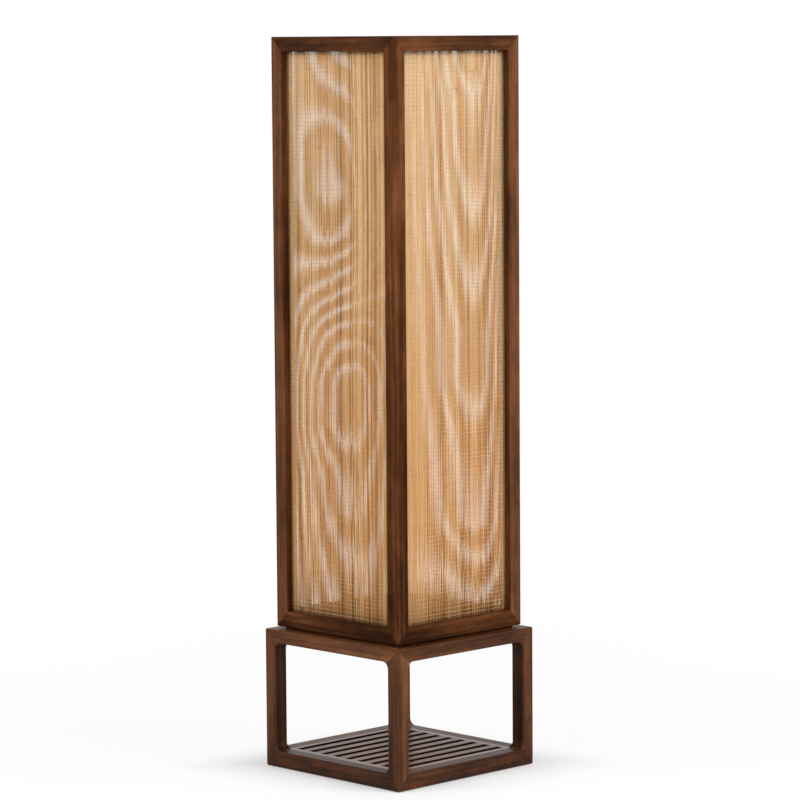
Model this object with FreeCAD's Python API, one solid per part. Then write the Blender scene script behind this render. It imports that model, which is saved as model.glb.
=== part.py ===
import FreeCAD, Part
import math
import os

# A floor lamp in the form of an andon: a tall square paper-lantern frame of dark walnut,
# filled with four see-through panels of woven reed, standing on an open cube-shaped stand
# with a slatted shelf. Millimetres, +Z up, origin on the floor in the middle of the lamp.
# The front is the -Y side, the right is the +X side.
#
# The frames are carved whole, with rounded window corners and soft arrises, and are then
# parted along the three mitre planes of each corner, so the softened edges run on from one
# piece to the next. Every rail end has a hidden tenon that lies beyond its mitre.

# Overall sizes
total_height = 1200.0
stand_width = 312.0
lantern_inset = 14.0
stand_top = 230.0
shadow_gap = 4.0
foot_gap = 1.0

# Members of the two frames, all as wide in plan as they are deep
member = 24.0
stand_top_rail = 22.0
stand_bottom_rail = 27.0
lantern_top_rail = 24.0
lantern_bottom_rail = 26.0
window_radius = 12.0
lantern_window_radius = 1.5
stand_arris = 2.0
lantern_arris = 1.2

# Hidden tenons of the mitred corners
tenon_inset = 5.0
tenon_width = 6.0
tenon_margin = 1.0
tenon_play = 0.15

# Woven panels and the grooves that hold them. Each column is a bundle of upright splints,
# and the bands across them are where the threads tie the weave.
panel_recess = 12.0
panel_thickness = 1.6
panel_tongue = 5.0
groove_play = 0.2
panel_border = 8.0
panel_gap_count = 12
panel_gap_width = 6.0
panel_row_count = 4
panel_band = 6.0

# Slatted shelf between the bottom rails of the stand
shelf_thickness = 12.0
shelf_border = 12.0
slot_count = 9
slot_width = 12.0
slat_arris = 1.0
slat_tongue = 5.0
slat_tongue_thickness = 5.0
joint_play = 0.2
dowel_radius = 3.0
dowel_in_rail = 12.0
dowel_in_shelf = 8.0
dowel_spacing = 160.0
dowel_play = 0.1

# Board that closes the stand and carries the lantern and the lamp holder
board_thickness = 10.0
ledger_width = 12.0
ledger_height = 12.0
screw_radius = 2.0
screw_head_radius = 4.0
screw_head_height = 2.5
screw_bite = 14.0
screw_spacing = 150.0
screw_play = 0.1
cleat_length = 90.0
cleat_width = 10.0
cleat_height = 10.0
cleat_play = 0.5

# Lamp holder, its plate and the cable gland below it
plate_radius = 24.0
plate_thickness = 2.5
wire_hole_radius = 4.5
plate_screw_radius = 1.5
plate_screw_head_radius = 3.0
plate_screw_head_height = 1.8
plate_screw_length = 9.0
plate_screw_circle = 18.0
holder_foot_radius = 11.0
holder_foot_height = 14.0
holder_radius = 13.5
holder_height = 52.0
holder_flange_radius = 16.0
holder_flange_thickness = 2.0
holder_flange_height = 28.0
holder_rim = 1.0
socket_depth = 26.0
ring_radius = 17.5
ring_height = 7.0
ring_play = 0.2
gland_flange_radius = 9.0
gland_flange_height = 4.0
gland_sleeve_radius = 6.0
gland_bore_radius = 3.5
gland_play = 0.1

# Bulb: a slim frosted one with a small screw cap
cap_radius = 6.9
cap_play = 0.1
cap_length = 24.0
cap_contact_radius = 2.5
cap_contact_height = 1.5
bulb_radius = 17.5
bulb_neck_radius = 8.5
bulb_length = 95.0
bulb_swell_height = 24.0
bulb_lift = 0.5

# Felt pads let into the undersides of the stand's posts
pad_radius = 8.0
pad_thickness = 2.5
pad_play = 0.2

# Overrun of every cutting tool, so that no cut ends on a face
overrun = 5.0

# Places that follow from the sizes
stand_half = stand_width / 2
lantern_half = stand_half - lantern_inset
stand_inner = stand_half - member
lantern_inner = lantern_half - member
stand_bottom = foot_gap
shelf_top = stand_bottom + stand_bottom_rail
shelf_inner = stand_inner - shelf_border
lantern_bottom = stand_top + shadow_gap
board_bottom = lantern_bottom - board_thickness
plate_top = lantern_bottom + plate_thickness
holder_top = plate_top + holder_height
slat_width = (2 * shelf_inner - slot_count * slot_width) / (slot_count - 1)

SIDES = ("front", "right", "back", "left")
CORNERS = ("front_left", "front_right", "back_right", "back_left")
QUARTER = 90.0
UP = FreeCAD.Vector(0, 0, 1)
ORIGIN = FreeCAD.Vector(0, 0, 0)


def block(x0, x1, y0, y1, z0, z1):
    """Box between two opposite corners."""
    return Part.makeBox(x1 - x0, y1 - y0, z1 - z0, FreeCAD.Vector(x0, y0, z0))


def turned(shape, quarters):
    """Copy of a shape turned about the lamp's upright axis by quarter turns."""
    copy = shape.copy()
    copy.rotate(ORIGIN, UP, QUARTER * quarters)
    return copy


def prism(corners, travel):
    """Solid swept from a flat polygon along a vector."""
    wire = Part.makePolygon(corners + corners[:1])
    return Part.Face(wire).extrude(travel)


def spun(outline):
    """Solid turned about the upright axis from (radius, height) points."""
    wire = Part.makePolygon([FreeCAD.Vector(r, 0, z) for r, z in outline + outline[:1]])
    return Part.Face(wire).revolve(ORIGIN, UP, 360)


def runs_front_to_back(edge):
    """True for a straight edge parallel to the Y axis."""
    return math.isclose(abs(edge.tangentAt(edge.FirstParameter).y), 1)


def window(inner, half, z0, z1, radius):
    """Opening that runs through two opposite sides of a frame."""
    tool = block(-inner, inner, -half - overrun, half + overrun, z0, z1)
    return tool.makeFillet(radius, [edge for edge in tool.Edges if runs_front_to_back(edge)])


def outer_edges(frame, half):
    """Edges of a frame that lie on its four outer faces."""
    found = []
    for edge in frame.Edges:
        ends = [vertex.Point for vertex in edge.Vertexes]
        on_x = all(math.isclose(abs(p.x), half, abs_tol=tenon_play) for p in ends)
        on_y = all(math.isclose(abs(p.y), half, abs_tol=tenon_play) for p in ends)
        if on_x or on_y:
            found.append(edge)
    return found


def whole_frame(half, z0, z1, low_rail, high_rail, radius, arris):
    """Four posts and eight rails in one piece, with four windows and soft outer arrises."""
    inner = half - member
    frame = block(-half, half, -half, half, z0, z1)
    frame = frame.cut(block(-inner, inner, -inner, inner, z0 - overrun, z1 + overrun))
    opening = window(inner, half, z0 + low_rail, z1 - high_rail, radius)
    frame = frame.cut(opening).cut(turned(opening, 1))
    return frame.makeFillet(arris, outer_edges(frame, half))


def rail_zone(half, apex, rail, inward, radius):
    """Space of the front rail between the mitre planes at both of its ends.

    apex is the height of the outer corners where the planes meet, and inward is the
    direction, up or down, from there into the frame.
    """
    depth = member + radius + overrun
    slope = inward * rail / member
    plan = prism(
        [
            FreeCAD.Vector(-half - overrun, -half - overrun, apex - inward * rail),
            FreeCAD.Vector(half + overrun, -half - overrun, apex - inward * rail),
            FreeCAD.Vector(half - depth, -half + depth, apex - inward * rail),
            FreeCAD.Vector(-half + depth, -half + depth, apex - inward * rail),
        ],
        FreeCAD.Vector(0, 0, inward * (rail + 2 * depth)),
    )
    face = prism(
        [
            FreeCAD.Vector(-half - overrun, -half - overrun, apex - slope * overrun),
            FreeCAD.Vector(half + overrun, -half - overrun, apex - slope * overrun),
            FreeCAD.Vector(half - depth, -half - overrun, apex + slope * depth),
            FreeCAD.Vector(-half + depth, -half - overrun, apex + slope * depth),
        ],
        FreeCAD.Vector(0, overrun + member + overrun, 0),
    )
    return plan.common(face)


def post_zone(half, z0, z1, low_rail, high_rail, radius):
    """Space of the front left post between the mitre planes at its two ends."""
    depth = member + radius + overrun
    low = low_rail / member
    high = high_rail / member
    sides = []
    for across in (FreeCAD.Vector(1, 0, 0), FreeCAD.Vector(0, 1, 0)):
        along = FreeCAD.Vector(across.y, across.x, 0)
        corner = FreeCAD.Vector(-half, -half, 0) - along * overrun
        outline = [
            corner - across * overrun + UP * (z0 - low * overrun),
            corner + across * depth + UP * (z0 + low * depth),
            corner + across * depth + UP * (z1 - high * depth),
            corner - across * overrun + UP * (z1 + high * overrun),
        ]
        sides.append(prism(outline, along * (overrun + depth)))
    return sides[0].common(sides[1])


def tenon(half, apex, rail, inward, place, play):
    """Tenon of the front rail: place 0 is at its left end, place 1 at its right end.

    Both lie below the part of the corner where the rails meet each other, one nearer to
    the outer corner than the other, so the tenons of two rails pass in one post.
    """
    near = rail * (tenon_inset + tenon_width) / member + tenon_margin
    height = (rail - near - 2 * tenon_margin) / 2
    start = near + place * (height + tenon_margin)
    z_values = sorted((apex + inward * (start - play), apex + inward * (start + height + play)))
    y0 = -half + tenon_inset - play
    y1 = -half + tenon_inset + tenon_width + play
    x_values = (-half + tenon_inset - play, -half + member)
    if place == 1:
        x_values = (half - member, half - tenon_inset + play)
    return block(x_values[0], x_values[1], y0, y1, z_values[0], z_values[1])


def mitred_rail(frame, half, apex, rail, inward, radius):
    """Front rail cut out of the whole frame, with its two tenons."""
    body = frame.common(rail_zone(half, apex, rail, inward, radius))
    for place in (0, 1):
        body = body.fuse(tenon(half, apex, rail, inward, place, 0))
    return body.removeSplitter().Solids[0]


def mitred_post(frame, half, z0, z1, low_rail, high_rail, radius):
    """Front left post cut out of the whole frame, with mortises for the four rails' tenons."""
    body = frame.common(post_zone(half, z0, z1, low_rail, high_rail, radius))
    for apex, rail, inward in ((z0, low_rail, 1), (z1, high_rail, -1)):
        body = body.cut(tenon(half, apex, rail, inward, 0, tenon_play))
        body = body.cut(turned(tenon(half, apex, rail, inward, 1, tenon_play), -1))
    return body.Solids[0]


def panel():
    """Front woven panel as a thin mat that reaches into the grooves of its frame."""
    reach = panel_tongue - groove_play
    half = lantern_inner + reach
    y0 = -lantern_half + panel_recess
    z0 = lantern_bottom + lantern_bottom_rail - reach
    z1 = total_height - lantern_top_rail + reach
    gaps = panel_gaps(half - panel_border, z0 + panel_border, z1 - panel_border)
    return block(-half, half, y0, y0 + panel_thickness, z0, z1).cut(gaps)


def panel_gaps(half, z0, z1):
    """Tool that opens the front panel between its bundles of splints, row by row."""
    column = (2 * half - panel_gap_count * panel_gap_width) / (panel_gap_count - 1)
    row = (z1 - z0 - (panel_row_count - 1) * panel_band) / panel_row_count
    gaps = []
    for index in range(panel_gap_count * panel_row_count):
        x0 = -half + (index % panel_gap_count) * (panel_gap_width + column)
        low = z0 + (index // panel_gap_count) * (row + panel_band)
        gaps.append(block(x0, x0 + panel_gap_width, -lantern_half, -lantern_inner, low, low + row))
    return Part.makeCompound(gaps)


def panel_groove():
    """Tool that cuts the groove for the front panel."""
    y0 = -lantern_half + panel_recess - groove_play
    y1 = y0 + panel_thickness + 2 * groove_play
    z0 = lantern_bottom + lantern_bottom_rail - panel_tongue
    z1 = total_height - lantern_top_rail + panel_tongue
    reach = lantern_inner + panel_tongue
    return block(-reach, reach, y0, y1, z0, z1)


def lantern_frame():
    """Whole lantern frame with its four panel grooves."""
    frame = whole_frame(
        lantern_half, lantern_bottom, total_height, lantern_bottom_rail, lantern_top_rail,
        lantern_window_radius, lantern_arris,
    )
    for quarters in range(len(SIDES)):
        frame = frame.cut(turned(panel_groove(), quarters))
    return frame


def stand_frame():
    """Whole stand frame with rounded window corners."""
    return whole_frame(
        stand_half, stand_bottom, stand_top, stand_bottom_rail, stand_top_rail, window_radius, stand_arris
    )


def rod(radius, length, start, direction):
    """Round bar from a start point along a direction."""
    return Part.makeCylinder(radius, length, start, direction)


def shelf_dowel(x, play):
    """Dowel that ties the front end of the shelf to the front bottom rail."""
    start = FreeCAD.Vector(x, -stand_inner - dowel_in_rail - play, shelf_top - shelf_thickness / 2)
    return rod(dowel_radius + play, dowel_in_rail + dowel_in_shelf + 2 * play, start, FreeCAD.Vector(0, 1, 0))


def all_dowels(play):
    """The shelf's dowels, two on each side."""
    places = [(x, quarters) for quarters in range(len(SIDES)) for x in (-dowel_spacing / 2, dowel_spacing / 2)]
    return Part.makeCompound([turned(shelf_dowel(x, play), quarters) for x, quarters in places])


def slat_bar(x0, x1, play):
    """Bar of the shelf from front to back, with a tongue at each end."""
    bar = block(x0, x1, -shelf_inner, shelf_inner, shelf_top - shelf_thickness, shelf_top)
    if play == 0:
        top_edges = [e for e in bar.Edges if is_top_long_edge(e)]
        bar = bar.makeFillet(slat_arris, top_edges)
    middle = shelf_top - shelf_thickness / 2
    half_tongue = slat_tongue_thickness / 2 + play
    reach = shelf_inner + slat_tongue + play
    shoulder = slat_tongue_thickness / 2 - play
    tongue = block(x0 + shoulder, x1 - shoulder, -reach, reach, middle - half_tongue, middle + half_tongue)
    return bar.fuse(tongue).removeSplitter().Solids[0]


def is_top_long_edge(edge):
    """True for an edge of a shelf bar that runs from front to back along its top face."""
    return runs_front_to_back(edge) and math.isclose(edge.CenterOfMass.z, shelf_top, abs_tol=joint_play)


def bar_spans():
    """Left and right limits of the shelf's bars: two stiles with the slats between them."""
    spans = {"shelf_stile_left": (-stand_inner + joint_play, -shelf_inner)}
    for index in range(slot_count - 1):
        left = -shelf_inner + slot_width + index * (slot_width + slat_width)
        spans["shelf_slat_%d" % (index + 1)] = (left, left + slat_width)
    spans["shelf_stile_right"] = (shelf_inner, stand_inner - joint_play)
    return spans


def shelf_rail():
    """Front member of the shelf, mortised for the bars and bored for the dowels."""
    reach = stand_inner - joint_play
    body = block(-reach, reach, -reach, -shelf_inner, shelf_top - shelf_thickness, shelf_top)
    for x0, x1 in bar_spans().values():
        body = body.cut(slat_bar(x0, x1, joint_play / 2).common(block(x0, x1, -reach, -shelf_inner, 0, shelf_top)))
    return body.cut(all_dowels(dowel_play)).Solids[0]


def ledger():
    """Front ledger under the board; each one butts against the next, round the stand."""
    start = -stand_inner + joint_play
    end = stand_inner - ledger_width - joint_play
    return block(start, end, -stand_inner, -stand_inner + ledger_width, board_bottom - ledger_height, board_bottom)


def ledger_screw(x, play):
    """Screw through the front ledger into the front top rail."""
    height = board_bottom - ledger_height / 2
    head = FreeCAD.Vector(x, -stand_inner + ledger_width, height)
    outward = FreeCAD.Vector(0, -1, 0)
    screw = rod(screw_radius + play, ledger_width + screw_bite + play, head, outward)
    return screw.fuse(rod(screw_head_radius, screw_head_height, head, FreeCAD.Vector(0, 1, 0)))


def ledger_screws(play):
    """The ledgers' screws, two on each side."""
    places = [(x, quarters) for quarters in range(len(SIDES)) for x in (-screw_spacing / 2, screw_spacing / 2)]
    return Part.makeCompound([turned(ledger_screw(x, play), quarters) for x, quarters in places])


def plate_screws(play):
    """Two screws that hold the lamp holder's plate to the board."""
    screws = []
    for x in (-plate_screw_circle, plate_screw_circle):
        seat = FreeCAD.Vector(x, 0, plate_top)
        shank = rod(plate_screw_radius + play, plate_screw_length + play, seat, -UP)
        screws.append(shank.fuse(rod(plate_screw_head_radius, plate_screw_head_height, seat, UP)))
    return Part.makeCompound(screws)


def top_board():
    """Board inside the top of the stand, on which the lantern stands clear of the stand."""
    reach = stand_inner - joint_play
    body = block(-reach, reach, -reach, reach, board_bottom, lantern_bottom)
    hole_start = FreeCAD.Vector(0, 0, board_bottom - overrun)
    body = body.cut(rod(gland_sleeve_radius + gland_play, board_thickness + 2 * overrun, hole_start, UP))
    return body.cut(plate_screws(screw_play))


def cleat():
    """Front cleat on the board that keeps the lantern from sliding."""
    y0 = -lantern_inner + cleat_play
    top = lantern_bottom + cleat_height
    return block(-cleat_length / 2, cleat_length / 2, y0, y0 + cleat_width, lantern_bottom, top)


def holder_plate():
    """Round plate under the lamp holder."""
    body = rod(plate_radius, plate_thickness, FreeCAD.Vector(0, 0, lantern_bottom), UP)
    body = body.cut(rod(wire_hole_radius, plate_thickness + 2 * overrun, FreeCAD.Vector(0, 0, board_bottom), UP))
    return body.cut(plate_screws(screw_play))


def holder_body():
    """Lamp holder: a stepped foot, a flange for the ring and a socket for the cap."""
    flange = plate_top + holder_flange_height
    socket = holder_top - socket_depth
    return spun([
        (wire_hole_radius, plate_top),
        (holder_foot_radius, plate_top),
        (holder_foot_radius, plate_top + holder_foot_height),
        (holder_radius, plate_top + holder_foot_height + holder_radius - holder_foot_radius),
        (holder_radius, flange),
        (holder_flange_radius, flange),
        (holder_flange_radius, flange + holder_flange_thickness),
        (holder_radius, flange + holder_flange_thickness),
        (holder_radius, holder_top - holder_rim),
        (holder_radius - holder_rim, holder_top),
        (cap_radius + cap_play, holder_top),
        (cap_radius + cap_play, socket),
        (wire_hole_radius, socket),
    ])


def holder_ring():
    """Ring that sits on the lamp holder's flange."""
    base = plate_top + holder_flange_height + holder_flange_thickness
    inner = holder_radius + ring_play
    return spun([(inner, base), (ring_radius, base), (ring_radius, base + ring_height), (inner, base + ring_height)])


def cable_gland():
    """Gland through the board, where the mains cable comes in from below."""
    flange = board_bottom - gland_flange_height
    return spun([
        (gland_bore_radius, flange),
        (gland_flange_radius, flange),
        (gland_flange_radius, board_bottom),
        (gland_sleeve_radius, board_bottom),
        (gland_sleeve_radius, lantern_bottom),
        (gland_bore_radius, lantern_bottom),
    ])


def bulb_cap():
    """Screw cap of the bulb, without its thread, with the contact at its tip."""
    tip = holder_top + bulb_lift - cap_length
    return spun([
        (0, tip - cap_contact_height),
        (cap_contact_radius, tip - cap_contact_height),
        (cap_contact_radius, tip),
        (cap_radius, tip),
        (cap_radius, tip + cap_length),
        (0, tip + cap_length),
    ])


def bulb_glass():
    """Slim frosted bulb: a neck that swells into a round-ended body.

    The swell is two equal arcs, upright where they leave the neck and where they meet the
    body, that pass into each other halfway.
    """
    base = holder_top + bulb_lift
    top = base + bulb_length
    shoulder = base + bulb_swell_height
    crown = top - bulb_radius
    rise = bulb_swell_height / 2
    growth = (bulb_radius - bulb_neck_radius) / 2
    swell_radius = (rise ** 2 + growth ** 2) / (2 * growth)
    half_turn = math.asin(rise / swell_radius) / 2
    aside = swell_radius * (1 - math.cos(half_turn))
    along = swell_radius * math.sin(half_turn)
    neck = FreeCAD.Vector(bulb_neck_radius, 0, base)
    waist = FreeCAD.Vector(bulb_neck_radius + growth, 0, base + rise)
    body = FreeCAD.Vector(bulb_radius, 0, shoulder)
    diagonal = bulb_radius * math.sqrt(2) / 2
    outline = Part.Wire([
        Part.makeLine(FreeCAD.Vector(0, 0, base), neck),
        Part.Arc(neck, neck + FreeCAD.Vector(aside, 0, along), waist).toShape(),
        Part.Arc(waist, body - FreeCAD.Vector(aside, 0, along), body).toShape(),
        Part.makeLine(body, FreeCAD.Vector(bulb_radius, 0, crown)),
        Part.Arc(
            FreeCAD.Vector(bulb_radius, 0, crown),
            FreeCAD.Vector(diagonal, 0, crown + diagonal),
            FreeCAD.Vector(0, 0, top),
        ).toShape(),
        Part.makeLine(FreeCAD.Vector(0, 0, top), FreeCAD.Vector(0, 0, base)),
    ])
    return Part.Face(outline).revolve(ORIGIN, UP, 360)


def felt_pads(play):
    """Felt pads in the middle of the four posts' undersides."""
    middle = stand_half - member / 2
    pads = []
    for quarters in range(len(CORNERS)):
        pad = rod(pad_radius + play, pad_thickness, FreeCAD.Vector(-middle, -middle, 0), UP)
        pads.append(turned(pad, quarters))
    return Part.makeCompound(pads)


def add_frame(pieces, name, frame, half, z0, z1, low_rail, high_rail, radius):
    """Part a whole frame into its four posts and eight rails."""
    post = mitred_post(frame, half, z0, z1, low_rail, high_rail, radius)
    top_rail = mitred_rail(frame, half, z1, high_rail, -1, radius)
    bottom_rail = mitred_rail(frame, half, z0, low_rail, 1, radius)
    for quarters, corner in enumerate(CORNERS):
        pieces["%s_post_%s" % (name, corner)] = turned(post, quarters)
    for quarters, side in enumerate(SIDES):
        pieces["%s_top_rail_%s" % (name, side)] = turned(top_rail, quarters)
        pieces["%s_bottom_rail_%s" % (name, side)] = turned(bottom_rail, quarters)


def build_stand():
    """Stand, shelf and board with everything fixed to them."""
    pieces = {}
    frame = stand_frame().cut(all_dowels(dowel_play)).cut(ledger_screws(screw_play))
    frame = frame.cut(felt_pads(pad_play))
    add_frame(
        pieces, "stand", frame, stand_half, stand_bottom, stand_top,
        stand_bottom_rail, stand_top_rail, window_radius,
    )
    for quarters, side in ((0, "front"), (2, "back")):
        pieces["shelf_rail_%s" % side] = turned(shelf_rail(), quarters)
    for name, (x0, x1) in bar_spans().items():
        pieces[name] = slat_bar(x0, x1, 0).cut(all_dowels(dowel_play)).Solids[0]
    pieces["shelf_dowels"] = all_dowels(0)
    pieces["top_board"] = top_board()
    pierced_ledger = ledger().cut(ledger_screws(screw_play))
    for quarters, side in enumerate(SIDES):
        pieces["ledger_%s" % side] = turned(pierced_ledger, quarters)
        pieces["cleat_%s" % side] = turned(cleat(), quarters)
    pieces["ledger_screws"] = ledger_screws(0)
    pieces["felt_pads"] = felt_pads(0)
    pieces["holder_plate"] = holder_plate()
    pieces["holder_screws"] = plate_screws(0)
    pieces["holder_body"] = holder_body()
    pieces["holder_ring"] = holder_ring()
    pieces["cable_gland"] = cable_gland()
    return pieces


def build_lantern():
    """Lantern frame and its four woven panels."""
    pieces = {}
    add_frame(
        pieces, "lantern", lantern_frame(), lantern_half, lantern_bottom, total_height,
        lantern_bottom_rail, lantern_top_rail, lantern_window_radius,
    )
    for quarters, side in enumerate(SIDES):
        pieces["reed_panel_%s" % side] = turned(panel(), quarters)
    return pieces


def build_bulb():
    """Bulb that screws into the lamp holder."""
    return {"bulb_cap": bulb_cap(), "bulb_glass": bulb_glass()}


def main():
    """Build every piece and write each one to its own STEP file."""
    os.makedirs("parts", exist_ok=True)
    pieces = {**build_stand(), **build_lantern(), **build_bulb()}
    for name, shape in pieces.items():
        assert shape.isValid(), name
        shape.exportStep("parts/%s.step" % name)
        print(name, round(shape.Volume), len(shape.Solids))


main()
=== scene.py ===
import logging
import math
import random
from dataclasses import dataclass, field
from enum import Enum
from functools import partial
from typing import Any, Callable, Iterable, Iterator, Union

import bpy
from mathutils import Matrix, Vector


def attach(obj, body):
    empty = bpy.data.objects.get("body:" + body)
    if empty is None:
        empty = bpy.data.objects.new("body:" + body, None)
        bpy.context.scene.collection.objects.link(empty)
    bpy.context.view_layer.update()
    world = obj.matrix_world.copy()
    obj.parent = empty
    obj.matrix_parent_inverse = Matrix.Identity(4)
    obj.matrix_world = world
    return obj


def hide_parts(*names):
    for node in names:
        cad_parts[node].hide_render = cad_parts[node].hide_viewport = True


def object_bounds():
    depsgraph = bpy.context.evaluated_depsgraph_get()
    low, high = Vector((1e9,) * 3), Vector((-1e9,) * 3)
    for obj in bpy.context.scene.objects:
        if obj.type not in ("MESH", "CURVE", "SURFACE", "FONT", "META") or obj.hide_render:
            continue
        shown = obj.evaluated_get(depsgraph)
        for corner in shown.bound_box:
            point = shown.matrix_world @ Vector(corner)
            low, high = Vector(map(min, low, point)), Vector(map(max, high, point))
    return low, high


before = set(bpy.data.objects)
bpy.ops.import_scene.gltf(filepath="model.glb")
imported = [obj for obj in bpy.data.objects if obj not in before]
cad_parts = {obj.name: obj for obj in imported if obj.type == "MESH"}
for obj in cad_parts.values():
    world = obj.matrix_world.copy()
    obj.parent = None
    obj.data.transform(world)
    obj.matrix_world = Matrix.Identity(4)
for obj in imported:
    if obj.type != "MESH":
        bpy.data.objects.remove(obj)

# An andon floor lamp: a tall lantern of dark walnut with four see-through panels of reed,
# on an open stand with a slatted shelf. Metres, the same frame as the CAD model.

# A span has the two ends of a stretch, and a relief has a bump's depth in metres and its strength.
Triple = tuple[float, float, float]
Colour = Triple
Span = tuple[float, float]
Relief = tuple[float, float]
Number = Union[float, "Value"]

CAD_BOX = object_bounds()
PHOTO_SIDE = 800
BODY_STAND = "stand"
BODY_LANTERN = "lantern"
WHITE = (1.0, 1.0, 1.0)

# A face is level when its normal has this much of Z, and a point is on a rim from this share
# of the rim's height and radius on.
LEVEL_FACE = 0.9
ON_RIM = 0.95

log = logging.getLogger("lamp")


class Grain(Enum):
    """The way a board's grain runs, as the order of its two cross axes and its long axis."""

    UPRIGHT = (0, 1, 2)
    ACROSS = (1, 2, 0)
    DEEP = (0, 2, 1)


class Side(Enum):
    """Sides of the lamp, as quarter turns about the upright axis from the front."""

    FRONT = 0
    RIGHT = 1
    BACK = 2
    LEFT = 3

    @property
    def label(self) -> str:
        """Name of the side as the CAD nodes spell it."""
        return self.name.lower()

    @property
    def turn(self) -> Matrix:
        """Turn that carries a piece from the front to this side."""
        return Matrix.Rotation(self.value * math.pi / 2, 4, "Z")


@dataclass(frozen=True)
class Noise:
    """One smooth noise of a finish, and its share in what it is mixed into.

    The scale is in cells to a metre, the detail in octaves and the roughness is the weight of
    the finer ones. Along is how much a metre along the grain counts: less draws the noise out.
    """

    scale: float
    detail: float = 2.0
    roughness: float = 0.5
    along: float = 1.0
    share: float = 1.0


class Value:
    """One output of a shader node, with arithmetic that adds Math nodes."""

    def __init__(self, graph: "Graph", socket: bpy.types.NodeSocket) -> None:
        """Keep the graph and the socket."""
        self.graph = graph
        self.socket = socket

    def __add__(self, other: Number) -> "Value":
        """Sum."""
        return self.graph.maths("ADD", self, other)

    def __sub__(self, other: Number) -> "Value":
        """Difference."""
        return self.graph.maths("SUBTRACT", self, other)

    def __mul__(self, other: Number) -> "Value":
        """Product."""
        return self.graph.maths("MULTIPLY", self, other)

    def __pow__(self, other: Number) -> "Value":
        """Power."""
        return self.graph.maths("POWER", self, other)

    def __radd__(self, other: Number) -> "Value":
        """Sum with a number on the left."""
        return self.graph.maths("ADD", other, self)

    def __rsub__(self, other: Number) -> "Value":
        """Difference with a number on the left."""
        return self.graph.maths("SUBTRACT", other, self)

    def __rmul__(self, other: Number) -> "Value":
        """Product with a number on the left."""
        return self.graph.maths("MULTIPLY", other, self)

    def __abs__(self) -> "Value":
        """Absolute value."""
        return self.graph.maths("ABSOLUTE", self)


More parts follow.
